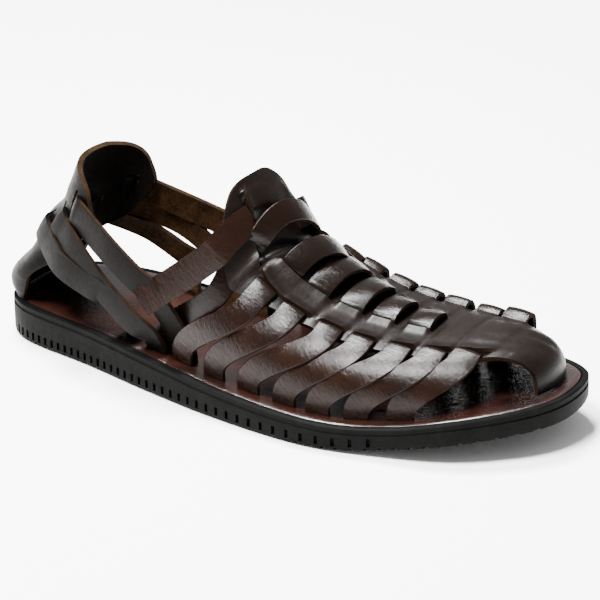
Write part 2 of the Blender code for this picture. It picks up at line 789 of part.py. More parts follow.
def heel_run(strap, side, start, free):
    """Path of a heel strap that faces start at first: a smooth free run and the counter's slit."""
    path, outward = counter_run(strap, side)
    smooth = catmull(free + path[:2], 3)[:3 * len(free)]
    count = len(smooth)
    smooth_out = [start.lerp(outward[0], ease(k / count)).normalized() for k in range(count)]
    return smooth + path, smooth_out + outward


def heel_band_path(side):
    """The band's path: from its foot, under the end of the ankle strap, and round to the counter."""
    tip = place(V_TIP[side]) - Vector((0, side * (STRAP_WALL - JOIN_DEPTH), 0))
    stub, stub_out = foot_points(BAND_FOOT[side], side, INNER_LINE)
    knee = stub[1].lerp(tip, KNEE_SHARE) + Vector((0, 0, KNEE_RISE))
    free = stub[1:] + [knee, tip] + [place(p) for p in HEEL_BAND[side]]
    path, outward = heel_run("band", side, stub_out[0], free)
    return stub[:1] + path, stub_out[:1] + outward


def heel_strap_path(strap, side):
    table, foot, shift = HEEL_STRAPS[strap]
    stub, stub_out = foot_points(foot[side], side, shift)
    path, outward = heel_run(strap, side, stub_out[0], stub[1:] + [place(p) for p in table[side]])
    return stub[:1] + path, stub_out[:1] + outward


def make_upper(collection, cutters, material):
    stations = []
    for low, high in zip(SPINE[:-1], SPINE[1:]):
        stations += [low[0] + (high[0] - low[0]) * k / SPINE_STEPS for k in range(SPINE_STEPS)]
    stations += [CAP_START + CAP_LENGTH * k / CAP_ROWS for k in range(CAP_ROWS + 1)]
    points = []
    for share in stations:
        station = share * SOLE_LENGTH
        outer, inner = spine_edges(station)
        for k in range(SPINE_COLUMNS + 1):
            points.append(last_point(station, outer + (inner - outer) * k / SPINE_COLUMNS))
    faces = grid_faces(len(stations), SPINE_COLUMNS + 1)
    upper = solidify(mesh_object("upper", points, faces, collection, material), SPINE_WALL, -1.0)
    for row in ROWS:
        boolean(upper, make_row(*row, cutters), "UNION")
    boolean(upper, make_ankle_strap(cutters), "UNION")
    boolean(upper, make_waist_loop(cutters), "UNION")
    for side, name in SIDES:
        band = ribbon("heel_band_" + name, *heel_band_path(side), ANKLE_STRAP_WIDTH, STRAP_WALL, cutters)
        boolean(upper, band, "UNION")


def make_heel(collection, cutters, strap_material, counter_material):
    """The counter with its slits, and on each side the two lower heel straps joined at the waist."""
    counter = make_counter(collection, counter_material)
    for side, name in SIDES:
        for strap in COUNTER_SLITS:
            boolean(counter, slit_cutter(strap, side, name, cutters), "DIFFERENCE")
        middle = ribbon("heel_straps_" + name, *heel_strap_path("middle", side), HEEL_STRAP_WIDTH,
                        STRAP_WALL, collection, strap_material)
        lower = ribbon("lower_strap_" + name, *heel_strap_path("lower", side), HEEL_STRAP_WIDTH,
                       STRAP_WALL, cutters)
        boolean(middle, lower, "UNION")


def main():
    clear_scene()
    parts = make_collection("woven_sandal")
    cutters = make_collection("cutters")
    make_outsole(parts, cutters, make_material("black_rubber"))
    make_insole(parts, cutters, make_material("insole_leather"))
    leather = make_material("brown_leather")
    make_upper(parts, cutters, leather)
    make_heel(parts, cutters, leather, make_material("counter_leather"))


main()
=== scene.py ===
"""Looks of the woven leather sandal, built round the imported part.

Metres, +Z up, +X to the toe, +Y to the inner side of the foot, as in the part.
"""

from math import cos, exp, pi, radians, sin

import bpy
from mathutils import Matrix, Vector


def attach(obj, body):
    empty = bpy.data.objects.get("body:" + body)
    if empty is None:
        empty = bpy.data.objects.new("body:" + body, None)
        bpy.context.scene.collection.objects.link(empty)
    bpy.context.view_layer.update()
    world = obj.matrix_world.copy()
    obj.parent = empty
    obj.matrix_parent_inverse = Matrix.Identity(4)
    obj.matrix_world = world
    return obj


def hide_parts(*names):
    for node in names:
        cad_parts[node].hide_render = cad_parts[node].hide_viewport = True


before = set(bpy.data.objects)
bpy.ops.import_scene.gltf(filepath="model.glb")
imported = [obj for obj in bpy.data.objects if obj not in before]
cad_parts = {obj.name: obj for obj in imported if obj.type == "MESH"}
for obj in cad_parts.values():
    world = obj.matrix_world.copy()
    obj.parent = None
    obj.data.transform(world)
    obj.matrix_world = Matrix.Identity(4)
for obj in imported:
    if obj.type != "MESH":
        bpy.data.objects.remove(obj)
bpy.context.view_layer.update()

# Sizes in metres and tables of shares, mostly those of the part

SOLE_LENGTH = 0.2708
BALL_WIDTH = 0.1013
HEEL_THICKNESS = 0.0183
TOE_SPRING = 0.0122
SOLE_BEVEL = 0.0022
STEP_HEIGHT = 0.0036
RIM_WIDTH = 0.0030
INSOLE_THICKNESS = 0.0028
NOTCH_WIDTH = 0.0016
NOTCH_HEIGHT = 0.0038
NOTCH_DEPTH = 0.0014
NOTCH_PITCH_HEEL = 0.0040
NOTCH_PITCH_TOE = 0.0085

INSTEP_HEIGHT = 0.0955
SPINE_WALL = 0.0022
TONGUE_LEAN = 0.015
STRAP_WIDTH = 0.0110
STRAP_WALL = 0.0021
ANKLE_STRAP_WIDTH = 0.0125
HEEL_STRAP_WIDTH = 0.0110
WAIST_STRAP_WIDTH = 0.0102
SLIGHT_CURL = 0.0003
FULL_CURL = 0.0004
FOOT_MARGIN = 0.0095
FOOT_DEPTH = 0.0016
FOOT_RISE = 0.0018
FOOT_LEAN = 0.15
SIDE_LIFT = 0.15
EDGE_REACH = 0.0015
SLIT_RUN = 0.0044
SLIT_HALF = 0.0003
LIP_RISE = 0.0015
TONGUE_TOP = -0.028
LOOP_DIP = 0.0030
# How far each strap bulges past its inner slit
FAR_REACH = 0.0036
FAR_RISE = {
    "ankle": 0.0022, "a": 0.0012, "b": 0.0026, "c": 0.0028,
    "d": 0.0028, "e": 0.0026, "f": 0.0026, "g": 0.0046,
}
# The outer arm of the ankle strap, from its V tip to the spine
ARM_BEND = 0.3
ARM_END = 0.0045
ARM_STANDS = Vector((-0.0013, 0, 0.0030))
# The knee of the heel band below its V tip
KNEE_SHARE = 0.14
KNEE_RISE = 0.0035
PATH_STEP = 0.0007
SPAN_STEPS = 26
HEEL_STEPS = 12
COUNTER_HEIGHT = 0.0860
COUNTER_WIDTH = 0.0570
COUNTER_WALL = 0.0026
COUNTER_SKEW = 0.07

OUTLINE = (
    # along, outer, inner
    (-0.4850, -0.165, 0.150),
    (-0.4560, -0.250, 0.245),
    (-0.4050, -0.300, 0.305),
    (-0.2950, -0.350, 0.338),
    (-0.1500, -0.437, 0.325),
    (-0.0040, -0.505, 0.356),
    (0.1470, -0.530, 0.432),
    (0.2580, -0.478, 0.462),
    (0.3680, -0.387, 0.440),
    (0.4480, -0.230, 0.365),
    (0.4930, -0.070, 0.262),
)
OUTLINE_STEPS = 10
HEEL_END = (-0.4925, 0.000)
TOE_END = (0.5060, 0.100)
SOLE_HEIGHTS = (
    # along, rim, underside
    (-0.500, 1.000, 0.00),
    (-0.222, 0.935, 0.00),
    (0.000, 0.730, 0.00),
    (0.120, 0.650, 0.00),
    (0.222, 0.650, 0.08),
    (0.300, 0.790, 0.35),
    (0.370, 1.000, 0.62),
    (0.440, 1.150, 0.84),
    (0.506, 1.270, 1.00),
)
SPINE = (
    # along, outer edge, inner edge, crest y, crest z, fullness, outer side, inner side
    (-0.0410, -0.100, 0.020, 0.030, 0.984, 3.0, -0.405, 0.420),
    (-0.0390, -0.148, 0.050, 0.030, 0.977, 2.9, -0.405, 0.420),
    (-0.0345, -0.197, 0.084, 0.030, 0.958, 2.7, -0.405, 0.420),
    (-0.0240, -0.252, 0.120, 0.032, 0.920, 2.5, -0.408, 0.420),
    (-0.0080, -0.291, 0.165, 0.035, 0.832, 2.5, -0.412, 0.418),
    (0.0150, -0.321, 0.257, 0.042, 0.717, 2.5, -0.418, 0.412),
    (0.0420, -0.316, 0.316, 0.050, 0.645, 2.7, -0.426, 0.408),
    (0.0920, -0.294, 0.332, 0.058, 0.533, 3.0, -0.437, 0.402),
    (0.1480, -0.285, 0.332, 0.066, 0.470, 3.0, -0.442, 0.396),
    (0.2020, -0.266, 0.330, 0.075, 0.438, 3.0, -0.430, 0.390),
    (0.2600, -0.242, 0.325, 0.084, 0.428, 3.0, -0.395, 0.382),
    (0.3140, -0.200, 0.322, 0.096, 0.430, 2.7, -0.355, 0.374),
    (0.3640, -0.145, 0.315, 0.108, 0.435, 2.3, -0.300, 0.366),
)
CAP_EDGES = (
    # share of the turn down, outer edge, inner edge
    (0.00, -0.145, 0.315),
    (0.25, -0.085, 0.305),
    (0.50, -0.045, 0.295),
    (0.75, -0.030, 0.288),
    (1.00, -0.030, 0.283),
)
CAP_FULLNESS = 2.6
CAP_SEAT = 0.0008
ROWS = (
    # name, outer foot, crossing, inner foot, forward, weave, rise, tilt
    ("a", -0.1000, 0.0525, -0.076, 0.020, "woven", 0.0064, 0.20),
    ("b", -0.0330, 0.0940, -0.003, 0.008, "woven", 0.0046, 0.20),
    ("c", 0.0350, 0.1470, 0.064, 0.004, "woven", 0.0034, 0.20),
    ("d", 0.1030, 0.2000, 0.132, 0.000, "woven", 0.0025, 0.16),
    ("e", 0.1630, 0.2600, 0.196, -0.006, "woven", 0.0018, 0.10),
    ("f", 0.2250, 0.3120, 0.256, 0.000, "under", 0.0000, 0.00),
    ("g", 0.2920, 0.3600, 0.313, 0.000, "under", 0.0000, 0.00),
)
ANKLE_ROW = ("ankle", -0.0100, 0.016, "under", 0.0000, 0.00)
LOOP_ROW = ("loop", 0.0070, 0.015, "loop", 0.0090, 0.05)
# The heights of a strap from the outer edge to the inner one: 1 is over the spine, 0 under it
WEAVES = {"woven": (1, 0, 1, 0, 1), "under": (1, 0, 1), "loop": (-0.3, 1, -0.3)}
# The slits of the spine: y of each as a share of the ball width
SLITS = (
    # along, outer, second, third, inner
    (-0.0100, -0.138, -0.090, 0.050, 0.110),
    (0.0120, -0.182, -0.120, 0.140, 0.215),
    (0.0540, -0.242, -0.133, 0.202, 0.275),
    (0.0940, -0.248, -0.122, 0.212, 0.286),
    (0.1470, -0.238, -0.104, 0.183, 0.286),
    (0.2000, -0.220, -0.080, 0.135, 0.284),
    (0.2600, -0.195, -0.060, 0.105, 0.278),
    (0.3120, -0.155, -0.030, 0.110, 0.275),
    (0.3600, -0.103, 0.000, 0.120, 0.268),
)

V_TIP = {-1: (-0.1430, -0.432, 0.475), 1: (-0.1380, 0.365, 0.455)}
WAIST_FOOT = {-1: -0.1500, 1: -0.1450}
BAND_FOOT = {-1: -0.1030, 1: -0.0960}
HEEL_BAND = {
    -1: ((-0.1800, -0.415, 0.550), (-0.2350, -0.385, 0.635)),
    1: ((-0.1850, 0.372, 0.480), (-0.2450, 0.355, 0.530)),
}
INNER_LINE = 0.0036
HEEL_STRAPS = {
    # strap: (points of each side, foot of each side, how far the foot stands in)
    "middle": (
        {
            -1: ((-0.1640, -0.372, 0.252), (-0.1910, -0.402, 0.320), (-0.2500, -0.392, 0.450),
                 (-0.3110, -0.342, 0.570)),
            1: ((-0.1580, 0.270, 0.245), (-0.1880, 0.322, 0.300), (-0.2500, 0.364, 0.402),
                (-0.3110, 0.340, 0.475)),
        },
        {-1: -0.1560, 1: -0.1500},
        0.0,
    ),
    "lower": (
        {
            -1: ((-0.2400, -0.385, 0.400), (-0.2800, -0.385, 0.440), (-0.3400, -0.345, 0.485)),
            1: ((-0.2400, 0.345, 0.252), (-0.2800, 0.350, 0.303), (-0.3400, 0.330, 0.388)),
        },
        {-1: -0.2140, 1: -0.2260},
        INNER_LINE,
    ),
}

COUNTER = (
    # height, back, wing, width, standing
    (0.225, -0.4900, -0.445, 0.86, 1.00),
    (0.260, -0.5020, -0.440, 0.90, 1.00),
    (0.310, -0.5030, -0.433, 0.94, 1.00),
    (0.370, -0.4860, -0.424, 0.98, 1.00),
    (0.440, -0.4640, -0.396, 1.00, 1.00),
    (0.540, -0.4470, -0.345, 1.00, 1.00),
    (0.640, -0.4330, -0.316, 1.00, 1.00),
    (0.750, -0.3990, -0.292, 1.00, 1.00),
    (0.850, -0.3840, -0.285, 0.98, 0.92),
    (0.920, -0.3740, -0.278, 0.96, 0.80),
    (0.970, -0.3680, -0.272, 0.94, 0.60),
    (1.000, -0.3640, -0.270, 0.92, 0.30),
)
COUNTER_SLITS = {
    # strap: (height, turn, lead, rise) of each side
    "band": {-1: (0.815, 27.0, 12.0, 0.0020), 1: (0.705, 20.0, 12.0, 0.0015)},
    "middle": {-1: (0.725, 44.0, 22.0, 0.0020), 1: (0.585, 42.0, 16.0, 0.0004)},
    "lower": {-1: (0.635, 60.0, 26.0, 0.0015), 1: (0.490, 56.0, 40.0, 0.0000)},
}
# Degrees round the counter: half a strap's passage through its slit, and half the slit
SLIT_TURN = 9.0
SLIT_GAPE = 2.2
SLIT_PLAY = 0.0006
# How far a strap's end lies inside, in passages
INNER_REACH = 1.3
COUNTER_SEAT = 0.217
COUNTER_ROWS = 110
COUNTER_COLUMNS = 120
STRAP_GAP = 0.0003
BAND_GAP = 0.0002
SIDES = ((-1, "outer"), (1, "inner"))


# Tables and curves

def read_table(rows, column, x):
    if x <= rows[0][0]:
        return rows[0][column]
    if x >= rows[-1][0]:
        return rows[-1][column]
    i = max(k for k in range(len(rows) - 1) if rows[k][0] <= x)

    def slope(k):
        low = max(k - 1, 0)
        high = min(k + 1, len(rows) - 1)
        return (rows[high][column] - rows[low][column]) / (rows[high][0] - rows[low][0])

    step = rows[i + 1][0] - rows[i][0]
    t = (x - rows[i][0]) / step
    return (
        rows[i][column] * (2 * t**3 - 3 * t**2 + 1)
        + rows[i + 1][column] * (3 * t**2 - 2 * t**3)
        + slope(i) * step * (t**3 - 2 * t**2 + t)
        + slope(i + 1) * step * (t**3 - t**2)
    )


def catmull(points, steps, closed=False):
    count = len(points)
    spans = count if closed else count - 1
    curve = []
    for i in range(spans):
        p1, p2 = points[i], points[(i + 1) % count]
        p0 = points[i - 1] if closed or i > 0 else p1 + (p1 - p2)
        p3 = points[(i + 2) % count] if closed or i < spans - 1 else p2 + (p2 - p1)
        for k in range(steps):
            t = k / steps
            curve.append(
                0.5 * (2 * p1 + (p2 - p0) * t + (2 * p0 - 5 * p1 + 4 * p2 - p3) * t**2
                       + (3 * p1 - p0 - 3 * p2 + p3) * t**3)
            )
    if not closed:
        curve.append(points[-1])
    return curve


def hermite(start, leave, end, arrive, steps):
    curve = []
    for k in range(steps):
        t = k / steps
        curve.append(
            start * (2 * t**3 - 3 * t**2 + 1) + end * (3 * t**2 - 2 * t**3)
            + leave * (t**3 - 2 * t**2 + t) + arrive * (t**3 - t**2)
        )
    return curve


def ease(t):
    t = min(max(t, 0.0), 1.0)
    return t * t * (3 - 2 * t)


def bell(distance, width):
    return exp(-((distance / width) ** 2))


def place(shares):
    return Vector((shares[0] * SOLE_LENGTH, shares[1] * BALL_WIDTH, shares[2] * INSTEP_HEIGHT))


def side_out(side):
    return Vector((0, side, SIDE_LIFT)).normalized()


# The sole's outline and heights

def outline_points():
    outer = [Vector((a * SOLE_LENGTH, o * BALL_WIDTH, 0)) for a, o, _ in OUTLINE]
    inner = [Vector((a * SOLE_LENGTH, i * BALL_WIDTH, 0)) for a, _, i in OUTLINE]
    heel = Vector((HEEL_END[0] * SOLE_LENGTH, HEEL_END[1] * BALL_WIDTH, 0))
    toe = Vector((TOE_END[0] * SOLE_LENGTH, TOE_END[1] * BALL_WIDTH, 0))
    return catmull([heel] + outer + [toe] + inner[::-1], OUTLINE_STEPS, closed=True)


def inset_outline(inset):
    points = outline_points()
    count = len(points)
    moved = []
    for i, point in enumerate(points):
        along = points[(i + 1) % count] - points[i - 1]
        inward = Vector((-along.y, along.x, 0)).normalized()
        moved.append(point + inward * inset)
    return moved


def rim_height(x):
    return read_table(SOLE_HEIGHTS, 1, x / SOLE_LENGTH) * HEEL_THICKNESS


def underside_height(x):
    return max(read_table(SOLE_HEIGHTS, 2, x / SOLE_LENGTH), 0.0) * TOE_SPRING


def edge_at(x, side, inset):
    points = inset_outline(inset)
    count = len(points)
    for i, point in enumerate(points):
        after = points[(i + 1) % count]
        forwards = (after.x - point.x) * side < 0
        if forwards and min(point.x, after.x) <= x <= max(point.x, after.x):
            share = (x - point.x) / (after.x - point.x)
            return point.lerp(after, share), (after - point).normalized() * -side
    raise ValueError("x lies outside the sole")


FRONT_LINE = inset_outline(FOOT_MARGIN)


def front_at(y):
    count = len(FRONT_LINE)
    best = 0.0
    for i, point in enumerate(FRONT_LINE):
        after = FRONT_LINE[(i + 1) % count]
        if point.x > 0 and min(point.y, after.y) <= y <= max(point.y, after.y):
            share = (y - point.y) / (after.y - point.y)
            best = max(best, point.lerp(after, share).x)
    return best


# The last and the spine on it

CAP_START = SPINE[-1][0]
CAP_LENGTH = 0.5 - CAP_START
# Rows of SPINE between which the tongue's backward lean fades out
LEAN_START, LEAN_END = 5, 8
LEAN_REACH = 0.45
WIDEST = 0.995


def section(crest_x, y):
    share = crest_x / SOLE_LENGTH
    crest_y = read_table(SPINE, 3, share) * BALL_WIDTH
    side_y = read_table(SPINE, 6 if y < crest_y else 7, share) * BALL_WIDTH
    fullness = read_table(SPINE, 5, share)
    across = min(abs(y - crest_y) / abs(side_y - crest_y), WIDEST)
    return (1 - across**fullness) ** (1 / fullness)


def last_point(station, y):
    start = CAP_START * SOLE_LENGTH
    crest_x = min(station, start)
    crest_z = read_table(SPINE, 4, crest_x / SOLE_LENGTH) * INSTEP_HEIGHT
    height = section(crest_x, y)
    base = rim_height(crest_x)
    crest_y = read_table(SPINE, 3, crest_x / SOLE_LENGTH) * BALL_WIDTH
    lean_start, lean_end = SPINE[LEAN_START][0], SPINE[LEAN_END][0]
    fade = ease((lean_end - crest_x / SOLE_LENGTH) / (lean_end - lean_start))
    lean = TONGUE_LEAN * fade * ((y - crest_y) / (LEAN_REACH * BALL_WIDTH)) ** 2
    top = Vector((crest_x - lean, y, base + (crest_z - base) * height))
    if station <= start:
        return top
    turn = min((station - start) / (CAP_LENGTH * SOLE_LENGTH), 1.0) * pi / 2
    reach = front_at(y)
    floor = rim_height(reach) + CAP_SEAT
    forward = sin(turn) ** (2 / CAP_FULLNESS)
    down = cos(turn) ** (2 / CAP_FULLNESS) if turn < pi / 2 else 0.0
    return Vector((start + (reach - start) * forward, y, floor + (top.z - floor) * down))


def last_normal(station, y):
    step = 0.0008
    back = last_point(station - step, y)
    along = last_point(station + step, y) - back
    across = last_point(station, y + step) - last_point(station, y - step)
    return along.cross(across).normalized()


def spine_edges(station):
    share = station / SOLE_LENGTH
    if share <= CAP_START:
        return read_table(SPINE, 1, share) * BALL_WIDTH, read_table(SPINE, 2, share) * BALL_WIDTH
    turned = (share - CAP_START) / CAP_LENGTH
    return read_table(CAP_EDGES, 1, turned) * BALL_WIDTH, read_table(CAP_EDGES, 2, turned) * BALL_WIDTH


def slit_lines(share):
    """y of the four slit lines at a station. On the toe cap they keep their shares of its width."""
    lines = [read_table(SLITS, k, share) * BALL_WIDTH for k in (1, 2, 3, 4)]
    if share > CAP_START:
        start, now = spine_edges(CAP_START * SOLE_LENGTH), spine_edges(share * SOLE_LENGTH)
        scale = (now[1] - now[0]) / (start[1] - start[0])
        lines = [now[0] + (y - start[0]) * scale for y in lines]
    return lines


# Mesh makers

STRAP_COLUMNS = 8
ROUNDING = 0.0005
SPINE_ROUNDING = 0.0006


def new_object(name, data):
    obj = bpy.data.objects.new(name, data)
    bpy.context.scene.collection.objects.link(obj)
    return obj


def leather_sheet(name, grid, missing, wall, offset, materials, marks=None, rounding=ROUNDING,
                  cut_faces=()):
    """Sheet of leather through a grid of points. The face that looks along row x column is the
    grain side, the other the flesh side, and the cut edge has the third material. A mark gives
    the materials a value that follows the share of the sheet's length."""
    rows, columns = len(grid), len(grid[0])
    points = [p for row in grid for p in row]
    faces, looks = [], []
    for i in range(rows - 1):
        for j in range(columns - 1):
            if (i, j) not in missing:
                a = i * columns + j
                faces.append((a, a + columns, a + columns + 1, a + 1))
                looks.append(2 if (i, j) in cut_faces else 0)
    mesh = bpy.data.meshes.new(name)
    mesh.from_pydata(points, [], faces)
    lengths = [0.0]
    for i in range(1, rows):
        lengths.append(lengths[-1] + (grid[i][columns // 2] - grid[i - 1][columns // 2]).length)
    widths = []
    for i in range(rows):
        run = [0.0]
        for j in range(1, columns):
            run.append(run[-1] + (grid[i][j] - grid[i][j - 1]).length)
        widths.append([w - run[-1] / 2 for w in run])
    layer = mesh.uv_layers.new(name="UVMap")
    for loop in mesh.loops:
        i, j = divmod(loop.vertex_index, columns)
        layer.data[loop.index].uv = (lengths[i], widths[i][j])
    for mark, value_at in (marks or {}).items():
        layer = mesh.attributes.new(mark, "FLOAT", "POINT")
        values = [value_at(i / (rows - 1)) for i in range(rows) for _ in range(columns)]
        layer.data.foreach_set("value", values)
    mesh.shade_smooth()
    obj = new_object(name, mesh)
    for material in materials:
        mesh.materials.append(material)
    mesh.polygons.foreach_set("material_index", looks)
    shell = obj.modifiers.new("wall", "SOLIDIFY")
    shell.thickness = wall
    shell.offset = offset
    shell.use_even_offset = True
    shell.material_offset = 1
    shell.material_offset_rim = 2
    soft = obj.modifiers.new("rounding", "BEVEL")
    soft.width = rounding
    soft.segments = 2
    soft.limit_method = "ANGLE"
    soft.angle_limit = radians(50)
    soft.harden_normals = True
    return obj


def strap(name, path, outward, width, materials, curl, marks):
    """Flat strap along a path, with its grain side outward."""
    count = len(path)
    grid = []
    for i in range(count):
        along = (path[min(i + 1, count - 1)] - path[max(i - 1, 0)]).normalized()
        out = (outward[i] - along * outward[i].dot(along)).normalized()
        across = out.cross(along).normalized()
        row = []
        for k in range(STRAP_COLUMNS + 1):
            t = 2 * k / STRAP_COLUMNS - 1
            row.append(path[i] + across * width / 2 * t - out * curl * t * t)
        grid.append(row)
    return leather_sheet(name, grid, set(), STRAP_WALL, 0.0, materials, marks)


def closed_rings(name, rings, material):
    """Solid through rings of equal count. Its two ends are strips across, from side to side."""
    count = len(rings[0])
    points = [p for ring in rings for p in ring]
    faces = []
    for r in range(len(rings) - 1):
        for i in range(count):
            after = (i + 1) % count
            low, high = r * count, (r + 1) * count
            faces.append((low + i, low + after, high + after, high + i))
    last = (len(rings) - 1) * count
    for near in range(count // 2):
        after = near + 1
        far_after, far = count - after, (count - near) % count
        lower = [near, far, far_after, after] if near != far else [near, far_after, after]
        if far_after == after:
            lower = [near, far, after]
        faces.append(tuple(lower))
        faces.append(tuple(last + v for v in reversed(lower)))
    mesh = bpy.data.meshes.new(name)
    mesh.from_pydata(points, [], faces)
    mesh.shade_smooth()
    mesh.set_sharp_from_angle(angle=radians(40))
    obj = new_object(name, mesh)
    mesh.materials.append(material)
    return obj


def ring_at(inset, height_of, over):
    return [Vector((p.x, p.y, height_of(p.x) + over)) for p in inset_outline(inset)]


# Materials

class Nodes:
    """Short names for the nodes of one material."""

    def __init__(self, name):
        self.material = bpy.data.materials.new(name)
        self.material.use_nodes = True
        self.tree = self.material.node_tree
        self.shader = self.tree.nodes["Principled BSDF"]

    def add(self, kind, **values):
        node = self.tree.nodes.new(kind)
        for key, value in values.items():
            setattr(node, key, value)
        return node

    def join(self, output, target):
        self.tree.links.new(output, target)

    def scaled(self, source, scale):
        mapping = self.add("ShaderNodeMapping")
        mapping.inputs["Scale"].default_value = scale
        self.join(source, mapping.inputs["Vector"])
        return mapping.outputs["Vector"]

    def noise(self, vector, scale, detail=3.0, roughness=0.55, distortion=0.0):
        node = self.add("ShaderNodeTexNoise")
        node.inputs["Scale"].default_value = scale
        node.inputs["Detail"].default_value = detail
        node.inputs["Roughness"].default_value = roughness
        node.inputs["Distortion"].default_value = distortion
        self.join(vector, node.inputs["Vector"])
        return node.outputs["Fac"]

    def ramp(self, factor, stops):
        node = self.add("ShaderNodeValToRGB")
        elements = node.color_ramp.elements
        while len(elements) < len(stops):
            elements.new(0.5)
        for element, (position, colour) in zip(elements, stops):
            element.position = position
            element.color = (*colour, 1.0)
        self.join(factor, node.inputs["Fac"])
        return node.outputs["Color"]

    def mix(self, factor, a, b):
        node = self.add("ShaderNodeMix", data_type="RGBA")
        for value, socket in ((factor, node.inputs[0]), (a, node.inputs[6]), (b, node.inputs[7])):
            if isinstance(value, bpy.types.NodeSocket):
                self.join(value, socket)
            else:
                socket.default_value = (*value, 1.0)
        return node.outputs[2]

    def math(self, operation, a, b):
        node = self.add("ShaderNodeMath", operation=operation)
        for value, socket in ((a, node.inputs[0]), (b, node.inputs[1])):
            if isinstance(value, bpy.types.NodeSocket):
                self.join(value, socket)
            else:
                socket.default_value = value
        return node.outputs[0]

    def bump(self, heights):
        """heights: (height socket, distance in metres, strength)."""
        normal = None
        for height, distance, strength in heights:
            node = self.add("ShaderNodeBump")
            node.inputs["Distance"].default_value = distance
            if isinstance(strength, bpy.types.NodeSocket):
                self.join(strength, node.inputs["Strength"])
            else:
                node.inputs["Strength"].default_value = strength
            self.join(height, node.inputs["Height"])
            if normal:
                self.join(normal, node.inputs["Normal"])
            normal = node.outputs["Normal"]
        self.join(normal, self.shader.inputs["Normal"])


ROUGH_SPREAD = 0.28
RIPPLE_TURN = radians(25)
FINE_SPECKLE = 1600.0
# Depths of the bumps in metres. The scale of a noise is in cells per metre.
FOLD_DEPTH = 0.0005
CREASE_DEPTH = 0.00024
PORE_DEPTH = 0.00006
NAP_DEPTH = 0.0003
RIPPLE_DEPTH = 0.0003
INSOLE_PORE_DEPTH = 0.00005
MOULD_LINE_DEPTH = 0.0003
RUBBER_PORE_DEPTH = 0.0001


def grain_leather(name, dark, warm, rough, wrinkle=1.0, fuzz=0.0, level=0.12):
    """Polished leather. It is warmer, and creased more across its length, where it is worn."""
    n = Nodes(name)
    coords = n.add("ShaderNodeTexCoord")
    uv, space = coords.outputs["UV"], coords.outputs["Object"]
    wear = n.add("ShaderNodeAttribute", attribute_name="wear").outputs["Fac"]
    clouds = n.noise(space, 70.0, detail=4.0)
    warmth = n.math("MULTIPLY", n.math("ADD", wear, 0.25), clouds)
    n.join(n.mix(warmth, dark, warm), n.shader.inputs["Base Color"])
    creases = n.noise(n.scaled(uv, (1.0, 0.25, 1.0)), 1100.0, detail=4.0, roughness=0.7, distortion=0.8)
    pores = n.noise(space, 1700.0, roughness=0.7)
    folds = n.noise(n.scaled(uv, (1.0, 0.4, 1.0)), 230.0)
    strength = n.math("MULTIPLY", n.math("ADD", n.math("MULTIPLY", wear, 0.5), 0.5), wrinkle)
    n.bump([(folds, FOLD_DEPTH, 0.45), (creases, CREASE_DEPTH, strength), (pores, PORE_DEPTH, 0.4 + fuzz)])
    spread = n.math("MULTIPLY", n.noise(space, 420.0, detail=4.0, roughness=0.7), ROUGH_SPREAD)
    n.join(n.math("ADD", spread, rough - ROUGH_SPREAD / 2), n.shader.inputs["Roughness"])
    n.shader.inputs["Specular IOR Level"].default_value = level
    return n.material


def raw_leather(name, dark, light, scale=900.0):
    """Uncoated leather, speckled. Where the sheet is marked dark it is painted nearly black, as shade."""
    n = Nodes(name)
    space = n.add("ShaderNodeTexCoord").outputs["Object"]
    speckle = n.noise(space, scale, detail=4.0, roughness=0.7)
    blotch = n.noise(space, 130.0)
    tone = n.math("ADD", n.math("MULTIPLY", speckle, 0.6), n.math("MULTIPLY", blotch, 0.4))
    # The dark mark paints shade: the sheet turns to the painted shade black where it is marked
    shade = n.add("ShaderNodeAttribute", attribute_name="dark").outputs["Fac"]
    n.join(n.mix(shade, n.ramp(tone, ((0.36, dark), (0.60, light))), PAINTED_SHADE_BLACK), n.shader.inputs["Base Color"])
    n.bump([(speckle, NAP_DEPTH, 0.6)])
    n.shader.inputs["Roughness"].default_value = 0.85
    n.shader.inputs["Specular IOR Level"].default_value = 0.03
    return n.material


def insole_leather():
    n = Nodes("insole_leather")
    space = n.add("ShaderNodeTexCoord").outputs["Object"]
    clouds = n.noise(space, 45.0)
    colours = n.ramp(clouds, ((0.35, (0.0045, 0.0017, 0.0013)), (0.65, (0.016, 0.0052, 0.0034))))
    n.join(colours, n.shader.inputs["Base Color"])
    turned = n.add("ShaderNodeMapping")
    turned.inputs["Rotation"].default_value = (0.0, 0.0, RIPPLE_TURN)
    turned.inputs["Scale"].default_value = (0.25, 1.0, 1.0)
    n.join(space, turned.inputs["Vector"])
    ripples = n.noise(turned.outputs["Vector"], 1300.0, roughness=0.6, distortion=0.5)
    pores = n.noise(space, 2600.0, detail=2.0)
    n.bump([(ripples, RIPPLE_DEPTH, 0.5), (pores, INSOLE_PORE_DEPTH, 0.3)])
    n.shader.inputs["Roughness"].default_value = 0.24
    n.shader.inputs["Specular IOR Level"].default_value = 0.3
    n.shader.inputs["Coat Weight"].default_value = 0.25
    n.shader.inputs["Coat Roughness"].default_value = 0.14
    return n.material


def rubber():
    n = Nodes("black_rubber")
    space = n.add("ShaderNodeTexCoord").outputs["Object"]
    dust = n.noise(space, 160.0, detail=4.0, roughness=0.65)
    colours = n.ramp(dust, ((0.35, (0.0010, 0.0011, 0.0010)), (0.70, (0.0024, 0.0026, 0.0023))))
    n.join(colours, n.shader.inputs["Base Color"])
    lines = n.noise(n.scaled(space, (0.05, 0.05, 1.0)), 900.0, detail=2.0)
    pores = n.noise(space, 1400.0)
    n.bump([(lines, MOULD_LINE_DEPTH, 0.35), (pores, RUBBER_PORE_DEPTH, 0.5)])
    n.shader.inputs["Roughness"].default_value = 0.62
    n.shader.inputs["Specular IOR Level"].default_value = 0.03
    return n.material
